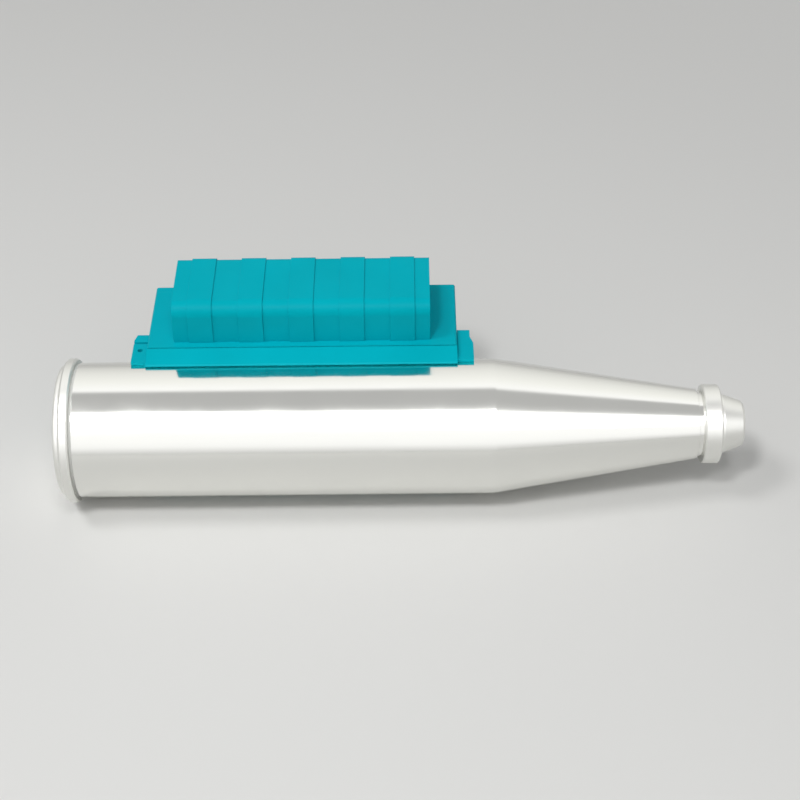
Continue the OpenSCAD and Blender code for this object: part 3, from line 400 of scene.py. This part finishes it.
def key_cap(name):
    """Rows of outlines: the flange, the side, a quarter round and then shrinking outlines over the dish."""
    low, high = corners(name)
    middle, half = face_middle(low, high)
    half = half - KEY_LIP
    back, top = low[1], high[1]
    outer = rounded(*(half + KEY_LIP), KEY_CORNER)
    side = rounded(*half, KEY_CORNER)
    turn = np.linspace(0, np.pi / 2, RIM_STEPS)
    rows = [on_face(outer, back, middle), on_face(outer, back + KEY_FLANGE, middle),
            on_face(side, back + KEY_FLANGE, middle)]
    rows += [on_face(rounded(*(half - inset), KEY_CORNER - inset), top - KEY_RIM + rise, middle)
             for inset, rise in zip(KEY_RIM * (1 - np.cos(turn)), KEY_RIM * np.sin(turn))]
    crown = half - KEY_RIM
    rim = rounded(*crown, KEY_CORNER - KEY_RIM)
    rows += [on_face(rim * share, dish(rim * share, crown, top), middle) for share in DISH_SHARES]
    return np.stack(rows), middle, crown, top


def mark(outline, middle, crown, top):
    """Printed mark on a dish: a foot below it, then outlines on it that shrink to their middle."""
    centre = outline.mean(axis=0)
    rows = [on_face(outline, dish(outline, crown, top) - MARK_SINK, middle)]
    for share in (1.0, 0.6, 0.2):
        flat = centre + (outline - centre) * share
        rows.append(on_face(flat, dish(flat, crown, top) + MARK_PROUD, middle))
    return np.stack(rows)


def triangle(size, way):
    """Triangle with its sides cut into short steps; way is 1 for up and -1 for down."""
    tips = np.array([[-1.0, -0.6], [1.0, -0.6], [0.0, 0.9]]) * size * np.array([1, way])
    steps = np.linspace(0, 1, 6, endpoint=False)[:, None]
    return np.concatenate([a + (b - a) * steps for a, b in zip(tips, np.roll(tips, -1, axis=0))])


def bar(half, up):
    """Rectangle with small round corners, moved up."""
    return rounded(*half, MARK_CORNER, MARK_STEPS) + [0, up]


def power_arc(middle, crown, top):
    """Open ring: a rectangular profile carried along an arc that leaves a gap at the top."""
    angle = np.radians(np.linspace(*POWER_ARC, 40))[:, None]
    across = POWER_R + np.array([-0.5, 0.5, 0.5, -0.5]) * POWER_W
    flat = np.stack([across * np.cos(angle), across * np.sin(angle)], -1)
    lift = np.array([-MARK_SINK, -MARK_SINK, MARK_PROUD, MARK_PROUD])
    return on_face(flat, dish(flat, crown, top) + lift, middle)


MARKS = {
    "key_up": lambda spot: [mark(triangle(ARROW_SIZE, 1), *spot)],
    "key_down": lambda spot: [mark(triangle(ARROW_SIZE, -1), *spot)],
    "key_menu": lambda spot: [mark(bar(MENU_BAR, up), *spot) for up in MENU_ROWS],
    "key_power": lambda spot: [power_arc(*spot), mark(bar(POWER_BAR, POWER_BAR_UP), *spot)],
}
for name, draw in MARKS.items():
    cap, *spot = key_cap(name)
    finish, slot = (red_silicone, "red_key") if name == "key_power" else (grey_silicone, "grey_key")
    piece(name + "_cap", [skin(cap)], name, finish, name)
    piece(name + "_mark", [skin(grid) for grid in draw(spot)], name, ink)

# Display segments, thin plates on the crystal glass; seen from the front, the barrel's tip is on the left
GLASS_LOW, GLASS_HIGH = corners("lcd_module")
GLASS_MIDDLE, _ = face_middle(GLASS_LOW, GLASS_HIGH)
SEGMENT_T, SEGMENT_INNER, STROKE_GAP, SLANT = 0.12, 0.3, 0.12, 0.1

# Lit strokes of each figure shown; each stroke's middle, in widths and half heights, and whether it lies flat
LIT = {"1": "bc", "2": "abdeg", "3": "abcdg", "5": "acdfg", "8": "abcdefg"}
STROKES = {"a": (0, 1, True), "b": (0.5, 0.5, False), "c": (0.5, -0.5, False), "d": (0, -1, True),
           "e": (-0.5, -0.5, False), "f": (-0.5, 0.5, False), "g": (0, 0, True)}
READING = {"width": 8.6, "height": 17.0, "stroke": 1.9}
COUNT = {"width": 2.6, "height": 5.0, "stroke": 0.65}

# Places on the glass, right of and above its middle, and half sizes; the scale's every fifth line is longer
READING_X, READING_Y, POINT_AT, POINT_HALF = (-11.0, 2.5, 18.5), -0.5, (10.2, -9.2), 0.95
COUNT_X, COUNT_Y = (-24.5, -20.2), 12.3
SCALE_X, SCALE_Y, SCALE_GROUP = np.linspace(-25, 25, 41), -13.9, 5
SCALE_HALF_W, SCALE_SHORT, SCALE_LONG = 0.35, 0.9, 1.5
CELL_X, CELL_Y, CELL_HALF_L, CELL_HALF_H, CELL_LINE, CELL_LAP = 21.0, 12.5, 3.1, 1.7, 0.22, 0.1
KNOB_OUT, KNOB_HALF, CHARGE_STEPS, CHARGE_HALF = 3.8, (0.35, 0.7), (-1.8, 0.0, 1.8), (0.65, 1.1)


def plate(outline):
    """Flat plate on the glass; the first number runs to the right, which is towards the rear cover."""
    flat = outline * np.array([-1, 1])
    centre = flat.mean(axis=0)
    back, front = GLASS_HIGH[1] - SEGMENT_T, GLASS_HIGH[1] + SEGMENT_T
    rows = [on_face(flat, back, GLASS_MIDDLE), on_face(flat, front, GLASS_MIDDLE),
            on_face(centre + (flat - centre) * SEGMENT_INNER, front, GLASS_MIDDLE)]
    return skin(np.stack(rows))


def digit(figure, place, width, height, stroke):
    """Lit strokes of a figure: pointed bars along or up, leaning with height."""
    bars = []
    for letter in LIT[figure]:
        across, up, lies_flat = STROKES[letter]
        tip = (width if lies_flat else height / 2) / 2 - stroke * STROKE_GAP
        shoulder, half = tip - stroke / 2, stroke / 2
        outline = np.array([[-tip, 0], [-shoulder, half], [shoulder, half], [tip, 0], [shoulder, -half],
                            [-shoulder, -half]])
        outline = outline if lies_flat else outline[:, ::-1]
        outline = outline + [across * width, up * height / 2]
        outline[:, 0] += SLANT * outline[:, 1]
        bars.append(plate(outline + place))
    return bars


def block(x, y, half_x, half_y):
    """Small rectangle on the glass, with corners rounded by three tenths of its shorter half."""
    return plate(rounded(half_x, half_y, min(half_x, half_y) * 0.3, 3) + [x, y])


def display_segments():
    """Reading with its point, count above it, scale along the lower edge and battery sign."""
    made = []
    for figure, x in zip("385", READING_X):
        made += digit(figure, np.array([x, READING_Y]), **READING)
    made.append(block(*POINT_AT, POINT_HALF, POINT_HALF))
    for figure, x in zip("12", COUNT_X):
        made += digit(figure, np.array([x, COUNT_Y]), **COUNT)
    made += [block(x, SCALE_Y, SCALE_HALF_W, SCALE_SHORT if line % SCALE_GROUP else SCALE_LONG)
             for line, x in enumerate(SCALE_X)]
    made += [block(CELL_X, CELL_Y + way * CELL_HALF_H, CELL_HALF_L + CELL_LAP, CELL_LINE) for way in (1, -1)]
    made += [block(CELL_X + way * CELL_HALF_L, CELL_Y, CELL_LINE, CELL_HALF_H) for way in (-1, 1)]
    made.append(block(CELL_X + KNOB_OUT, CELL_Y, *KNOB_HALF))
    made += [block(CELL_X + step, CELL_Y, *CHARGE_HALF) for step in CHARGE_STEPS]
    return made


piece("display_segments", display_segments(), "housing", segment_dye)

# Gasket between glass and window: a thin flange on the window's ledge and a wall down to the glass
LEDGE_W, WALL_T, FLANGE_T = 3.0, 0.35, 0.035
SIDE_AIR, LEDGE_AIR, WALL_AIR, GLASS_AIR = 0.05, 0.007, 0.01, 0.02
FLANGE_CORNER, WALL_OUT_CORNER, WALL_IN_CORNER = 1.9, 1.0, 0.7


def window_gasket():
    """Ring of six rounded outlines: the flange's edge and face, then the wall's inside, foot and outside."""
    low, high = corners("display_window")
    middle, half = face_middle(low, high)
    face, foot = low[1] - LEDGE_AIR, GLASS_HIGH[1] + GLASS_AIR
    back = face - FLANGE_T
    inner, outer = LEDGE_W + WALL_T, LEDGE_W + WALL_AIR
    rows = [(SIDE_AIR, FLANGE_CORNER, back), (SIDE_AIR, FLANGE_CORNER, face),
            (inner, WALL_IN_CORNER, face), (inner, WALL_IN_CORNER, foot),
            (outer, WALL_OUT_CORNER, foot), (outer, WALL_OUT_CORNER, back)]
    return np.stack([on_face(rounded(*(half - inset), corner), height, middle)
                     for inset, corner, height in rows])


piece("display_gasket", [skin(window_gasket(), ring=True)], "housing", rubber)

# Panel screws: a crowned head with a cross recess, on a shank with a blunt point; heights are over the seat
HEAD_R, HEAD_T = 2.4, 1.6
CROWN_R, CROWN_DROP, CROWN_SHARES = 2.2, 0.25, np.linspace(0.25, 1.0, 4)
RECESS_HALF_W, RECESS_HALF_L = 0.42, 1.35
SHANK_R, SHANK_L, POINT_R, POINT_L = 1.25, 10.4, 0.9, 11.2
# Share of the recess's mouth and height, then radius and height down the head's side and the shank
RECESS_ROWS = [(0.25, 0.7), (0.72, 0.75), (1.0, 1.5)]
SIDE_ROWS = [(2.36, 1.15), (HEAD_R, 0.95), (HEAD_R, 0.0), (SHANK_R, 0.0), (SHANK_R, -SHANK_L),
             (POINT_R, -POINT_L)]


def cross(half_width, half_length, per_side=4):
    """Angles and radii of a plus sign about its middle: the nearer of an arm's end and its side."""
    corner = math.atan2(half_width, half_length)
    quarter = np.concatenate([np.linspace(-corner, corner, per_side),
                              np.linspace(corner, np.pi / 4, per_side)[1:],
                              np.linspace(np.pi / 4, np.pi / 2 - corner, per_side)[1:-1]])
    angle = (np.arange(4)[:, None] * np.pi / 2 + quarter).ravel()
    a, b = np.abs(np.cos(angle)), np.abs(np.sin(angle))
    major, minor = np.maximum(a, b), np.minimum(a, b)
    at_end = minor / major <= half_width / half_length + 1e-9
    return angle, np.where(at_end, half_length / major, half_width / np.maximum(minor, 1e-9))


def panel_screw(x, z, seat):
    """Rows round a screw: cross recess from floor to mouth, a parabola over the head, rim, seat and shank."""
    angle, mouth = cross(RECESS_HALF_W, RECESS_HALF_L)
    rows = [(mouth * share, height) for share, height in RECESS_ROWS]
    for share in CROWN_SHARES:
        radius = mouth + (CROWN_R - mouth) * share
        rows.append((radius, HEAD_T - CROWN_DROP * (radius / CROWN_R) ** 2))
    rows += [(np.full_like(mouth, radius), height) for radius, height in SIDE_ROWS]
    return np.stack([np.stack([x + radius * np.cos(angle), np.broadcast_to(seat + height, angle.shape),
                               z + radius * np.sin(angle)], -1) for radius, height in rows])


low, high = corners("panel_screws")
spots = [(x, z) for x in (low[0] + HEAD_R, high[0] - HEAD_R) for z in (low[2] + HEAD_R, high[2] - HEAD_R)]
piece("panel_screw_set", [skin(panel_screw(x, z, high[1] - HEAD_T)) for x, z in spots], "housing", steel,
      "panel_screws", crease=30)

# Lock button: pin, hollow cap for its spring, rounded rim and grip rings in a dished top
PIN_R, CAP_R, CAP_L, CAP_ROOF, CAP_RIM = 2.0, 4.0, 4.2, 1.0, 0.6
HOLLOW_IN, HOLLOW_OUT = 2.2, 3.45
TOP_R, TOP_SINK, TOP_DISH, GRIP_H, GRIP_PITCH = 3.2, 0.12, 0.22, 0.1, 0.9


def lock_button_profile(pin_end, cap_end):
    """Radii and heights from the pin's end round the hollow and up the cap's side to a quarter round.

    The top goes to the middle on a parabola with a cosine wave on it, which makes the rings.
    """
    cap_low, roof, rim_low, rim_r = cap_end - CAP_L, cap_end - CAP_ROOF, cap_end - CAP_RIM, CAP_R - CAP_RIM
    turn = np.linspace(0, np.pi / 2, 6)
    radii = np.linspace(TOP_R, 0.1, 40)
    dished = cap_end - TOP_SINK - TOP_DISH * (1 - (radii / rim_r) ** 2)
    profile = [(PIN_R, pin_end), (PIN_R, cap_low), (HOLLOW_IN, cap_low), (HOLLOW_IN, roof),
               (HOLLOW_OUT, roof), (HOLLOW_OUT, cap_low), (CAP_R, cap_low), (CAP_R, rim_low)]
    profile += zip(rim_r + CAP_RIM * np.cos(turn), rim_low + CAP_RIM * np.sin(turn))
    profile += zip(radii, dished + GRIP_H * np.cos(radii * 2 * np.pi / GRIP_PITCH))
    return profile


low, high = corners("lock_button")
button = turned(lock_button_profile(low[1], high[1]), face_middle(low, high)[0])
piece("lock_button_cap", [skin(button)], "lock_button", acetal, "lock_button")

# Socket flap: a pillowed pad with finger ribs, and a knuckle round its pin
FLAP_T, KNUCKLE_R, BORE_R, PAD_GAP, PAD_CORNER, LEAST_CORNER = 1.3, 0.9, 0.66, 0.75, 1.2, 0.2
FLAP_LOW, FLAP_HIGH = corners("port_flap")
HINGE = np.array([(FLAP_LOW[0] + FLAP_HIGH[0]) / 2, FLAP_HIGH[1] - KNUCKLE_R])
PAD_END = HINGE[1] - PAD_GAP
PAD_MIDDLE = np.array([(FLAP_LOW[1] + PAD_END) / 2, (FLAP_LOW[2] + FLAP_HIGH[2]) / 2])
PAD_HALF = np.array([(PAD_END - FLAP_LOW[1]) / 2, (FLAP_HIGH[2] - FLAP_LOW[2]) / 2])
PAD_FACE = HINGE[0] - FLAP_T / 2
# Inset and depth of the pad's outlines, from the pillow's top over the rim to the back
PAD_ROWS = [(3.4, -0.16), (2.4, -0.13), (1.2, -0.05), (0.5, 0.03), (0.15, 0.15), (0.0, 0.4),
            (0.0, FLAP_T - 0.2), (0.2, FLAP_T), (2.0, FLAP_T)]
RIB_R, RIB_END, RIB_STATIONS = 0.32, 1.1, (1.2, 2.2, 3.2)
AROUND = np.linspace(0, 2 * np.pi, 28, endpoint=False)


def pad_row(inset, depth):
    """Outline of the pad at a depth from its outer face, shrunk by an inset."""
    flat = rounded(*(PAD_HALF - inset), max(PAD_CORNER - inset, LEAST_CORNER))
    return np.stack([np.full(len(flat), PAD_FACE + depth), PAD_MIDDLE[0] + flat[:, 0],
                     PAD_MIDDLE[1] + flat[:, 1]], -1)


def knuckle():
    """Tube along Z: four circles, up its outer side and down its bore."""
    radius = np.array([KNUCKLE_R, KNUCKLE_R, BORE_R, BORE_R])[:, None]
    height = np.array([FLAP_LOW[2], FLAP_HIGH[2], FLAP_HIGH[2], FLAP_LOW[2]])[:, None]
    return np.stack([HINGE[0] + radius * np.cos(AROUND), HINGE[1] + radius * np.sin(AROUND),
                     np.repeat(height, len(AROUND), 1)], -1)


def finger_rib(y):
    """Half-round rib across the pad: a circle carried along Z, thinner towards both ends."""
    along = np.linspace(-1, 1, 12)[:, None]
    radius = RIB_R * np.sqrt(np.maximum(1 - along ** 6, 0.02))
    height = PAD_MIDDLE[1] + along * (PAD_HALF[1] - RIB_END)
    return np.stack([PAD_FACE + radius * np.cos(AROUND), y + radius * np.sin(AROUND),
                     np.repeat(height, len(AROUND), 1)], -1)


pad = np.stack([pad_row(inset, depth) for inset, depth in PAD_ROWS])
ribs = [skin(finger_rib(FLAP_LOW[1] + station)) for station in RIB_STATIONS]
piece("socket_flap", [skin(pad), skin(knuckle(), ring=True)] + ribs, "port_flap", rubber,
      "port_flap")

# Springs, each between two bodies: a coil of wire in place of the spring's part
CURL_STEPS, WIRE_SIDES, X_AXIS, Y_AXIS = 24, 10, 0, 1


def spring(name, axis, curls, wire_r, flat):
    """Wire on a helix: its middle goes round the axis at one radius while it moves along the axis evenly.

    The wire is an oval, wire_r out from the axis and flat times that along it, because a pull
    thickens it that way.
    """
    low, high = corners(name)
    middle = (low + high) / 2
    side_a, side_b = [side for side in range(3) if side != axis]
    turn = np.linspace(0, 2 * np.pi * curls, CURL_STEPS * curls + 1)[:, None]
    round_wire = np.linspace(0, 2 * np.pi, WIRE_SIDES, endpoint=False)
    reach = (high[side_a] - low[side_a]) / 2 - wire_r + wire_r * np.cos(round_wire)
    rise = np.linspace(low[axis] + flat * wire_r, high[axis] - flat * wire_r, len(turn))[:, None]
    grid = np.zeros((len(turn), WIRE_SIDES, 3))
    grid[..., axis] = rise + flat * wire_r * np.sin(round_wire)
    grid[..., side_a] = middle[side_a] + reach * np.cos(turn)
    grid[..., side_b] = middle[side_b] + reach * np.sin(turn)
    made = piece(name + "_coil", [skin(grid)], None, wire, name, crease=60)
    start, end = middle.copy(), middle.copy()
    start[axis], end[axis] = low[axis], high[axis]
    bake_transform(made)


spring("return_spring", X_AXIS, curls=9, wire_r=0.6, flat=0.35)
spring("impact_spring", X_AXIS, curls=13, wire_r=0.9, flat=0.6)
spring("button_spring", Y_AXIS, curls=4, wire_r=0.3, flat=1.0)

# Floor: pale paper that throws little light back; far off, where the lamps fall away, it keeps its tone
FLOOR_REACH, GLOW_START, GLOW_END = 4.0, 0.35, 1.4
FLOOR_CORNERS = [(-1, -1), (1, -1), (1, 1), (-1, 1)]
floor_mesh = bpy.data.meshes.new("floor")
floor_mesh.from_pydata([(x * FLOOR_REACH, y * FLOOR_REACH, cad_low.z) for x, y in FLOOR_CORNERS], [],
                       [(0, 1, 2, 3)])
floor = bpy.data.objects.new("floor", floor_mesh)
bpy.context.scene.collection.objects.link(floor)
material, tree, place = blank("matt_floor_paper")
path = add(tree, "ShaderNodeLightPath").outputs
tone = add(tree, "ShaderNodeMix", {0: path["Is Diffuse Ray"], 6: linear("#E2E2E0"), 7: linear("#868684")},
           data_type="RGBA").outputs[2]
paper = add(tree, "ShaderNodeBsdfPrincipled", {"Base Color": tone, "Roughness": 0.9,
                                               "Specular IOR Level": 0.1})
glow = add(tree, "ShaderNodeEmission", {"Color": linear("#DBDBD9"), "Strength": 1.0})
away = add(tree, "ShaderNodeVectorMath", {0: place}, operation="LENGTH").outputs["Value"]
far = add(tree, "ShaderNodeMapRange", {"Value": away, "From Min": GLOW_START, "From Max": GLOW_END},
          interpolation_type="SMOOTHSTEP").outputs["Result"]
seen = add(tree, "ShaderNodeMath", {0: path["Is Camera Ray"], 1: path["Is Glossy Ray"]},
           operation="MAXIMUM").outputs["Value"]
share = add(tree, "ShaderNodeMath", {0: far, 1: seen}, operation="MULTIPLY").outputs["Value"]
mix = add(tree, "ShaderNodeMixShader", {0: share, 1: paper.outputs["BSDF"], 2: glow.outputs["Emission"]})
add(tree, "ShaderNodeOutputMaterial", {"Surface": mix.outputs["Shader"]})
floor_mesh.materials.append(material)
floor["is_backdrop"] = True

# Light: an even room; in reflections a back wall that brightens upwards, a grey ceiling and a white front
ROOM_LEVEL, CAMERA_EXTRA, MIRROR_EXTRA = 0.28, 0.42, 0.94
# Grey of the mirrored room by its lean, in degrees from straight up, towards the back above zero
ROOM = [(-180, 0.5), (-92, 0.6), (-80, 0.95), (-70, 1.0), (-25, 1.0), (-20, 0.53), (-9, 0.46), (14, 0.45),
        (20, 1.0), (38, 0.9), (60, 0.78), (78, 0.64), (92, 0.42), (180, 0.4)]
BACK_WALL, BACK_BLUE = 20, 0.97
world = bpy.data.worlds.new("studio")
bpy.context.scene.world = world
world.use_nodes = True
tree = world.node_tree
tree.nodes.clear()
path = add(tree, "ShaderNodeLightPath").outputs
seen = add(tree, "ShaderNodeMath", {0: path["Is Glossy Ray"], 1: path["Is Transmission Ray"]},
           operation="MAXIMUM").outputs["Value"]
direction = add(tree, "ShaderNodeTexCoord").outputs["Generated"]
way = add(tree, "ShaderNodeSeparateXYZ", {"Vector": direction}).outputs
lean = add(tree, "ShaderNodeMath", {0: way["Y"], 1: way["Z"]}, operation="ARCTAN2").outputs["Value"]
turn = add(tree, "ShaderNodeMapRange", {"Value": lean, "From Min": -math.pi, "From Max": math.pi})
ramp = add(tree, "ShaderNodeValToRGB", {"Fac": turn.outputs["Result"]})
stops = ramp.color_ramp.elements
while len(stops) < len(ROOM):
    stops.new(0.5)
for stop, (angle, grey) in zip(stops, ROOM):
    stop.position = (angle + 180) / 360
    stop.color = (grey, grey, grey * (BACK_BLUE if angle > BACK_WALL else 1.0), 1.0)
level = add(tree, "ShaderNodeMath", {0: path["Is Camera Ray"], 1: CAMERA_EXTRA, 2: ROOM_LEVEL},
            operation="MULTIPLY_ADD").outputs["Value"]
level = add(tree, "ShaderNodeMath", {0: seen, 1: MIRROR_EXTRA, 2: level},
            operation="MULTIPLY_ADD").outputs["Value"]
shade = add(tree, "ShaderNodeMix", {0: seen, 6: linear("#FFFFFF"), 7: ramp.outputs["Color"]},
            data_type="RGBA").outputs[2]
sky = add(tree, "ShaderNodeBackground", {"Color": shade, "Strength": level})
add(tree, "ShaderNodeOutputWorld", {"Surface": sky.outputs["Background"]})

LAMP_TARGET = Vector((0.13, 0.0, 0.0))


def softbox(name, azimuth, elevation, distance, length, width, radiance):
    """A rectangle lamp on a sphere about the target, its long side level, facing the target."""
    a, e = math.radians(azimuth), math.radians(elevation)
    way = Vector((math.sin(a) * math.cos(e), -math.cos(a) * math.cos(e), math.sin(e)))
    lamp = bpy.data.lights.new(name, "AREA")
    lamp.shape = "RECTANGLE"
    lamp.size, lamp.size_y = length, width
    lamp.energy = radiance * math.pi * length * width
    holder = bpy.data.objects.new(name, lamp)
    facing = way.to_track_quat("Z", "Y").to_matrix().to_4x4()
    holder.matrix_world = Matrix.Translation(LAMP_TARGET + way * distance) @ facing
    bpy.context.scene.collection.objects.link(holder)


softbox("front_box", azimuth=-6, elevation=52, distance=1.2, length=2.2, width=0.72, radiance=0.5)
softbox("side_lamp", azimuth=-75, elevation=61, distance=1.5, length=0.36, width=0.36, radiance=11.0)
softbox("left_lamp", azimuth=-24, elevation=58, distance=1.5, length=0.2, width=0.2, radiance=48.0)
softbox("right_lamp", azimuth=12, elevation=59, distance=1.5, length=0.2, width=0.2, radiance=23.0)

# Camera
eye = Vector((0.1392, -0.557, 0.473))
aim = Vector((0.1346, 0.012, 0.004))
roll = math.radians(-0.9)
camera = bpy.data.cameras.new("camera")
camera.angle = math.radians(24.7)
camera.clip_start = 0.01
holder = bpy.data.objects.new("camera", camera)
holder.matrix_world = (Matrix.Translation(eye) @ (eye - aim).to_track_quat("Z", "Y").to_matrix().to_4x4()
                       @ Matrix.Rotation(roll, 4, "Z"))
bpy.context.scene.collection.objects.link(holder)
bpy.context.scene.camera = holder
bpy.context.scene.view_settings.view_transform = "Standard"

low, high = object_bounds()
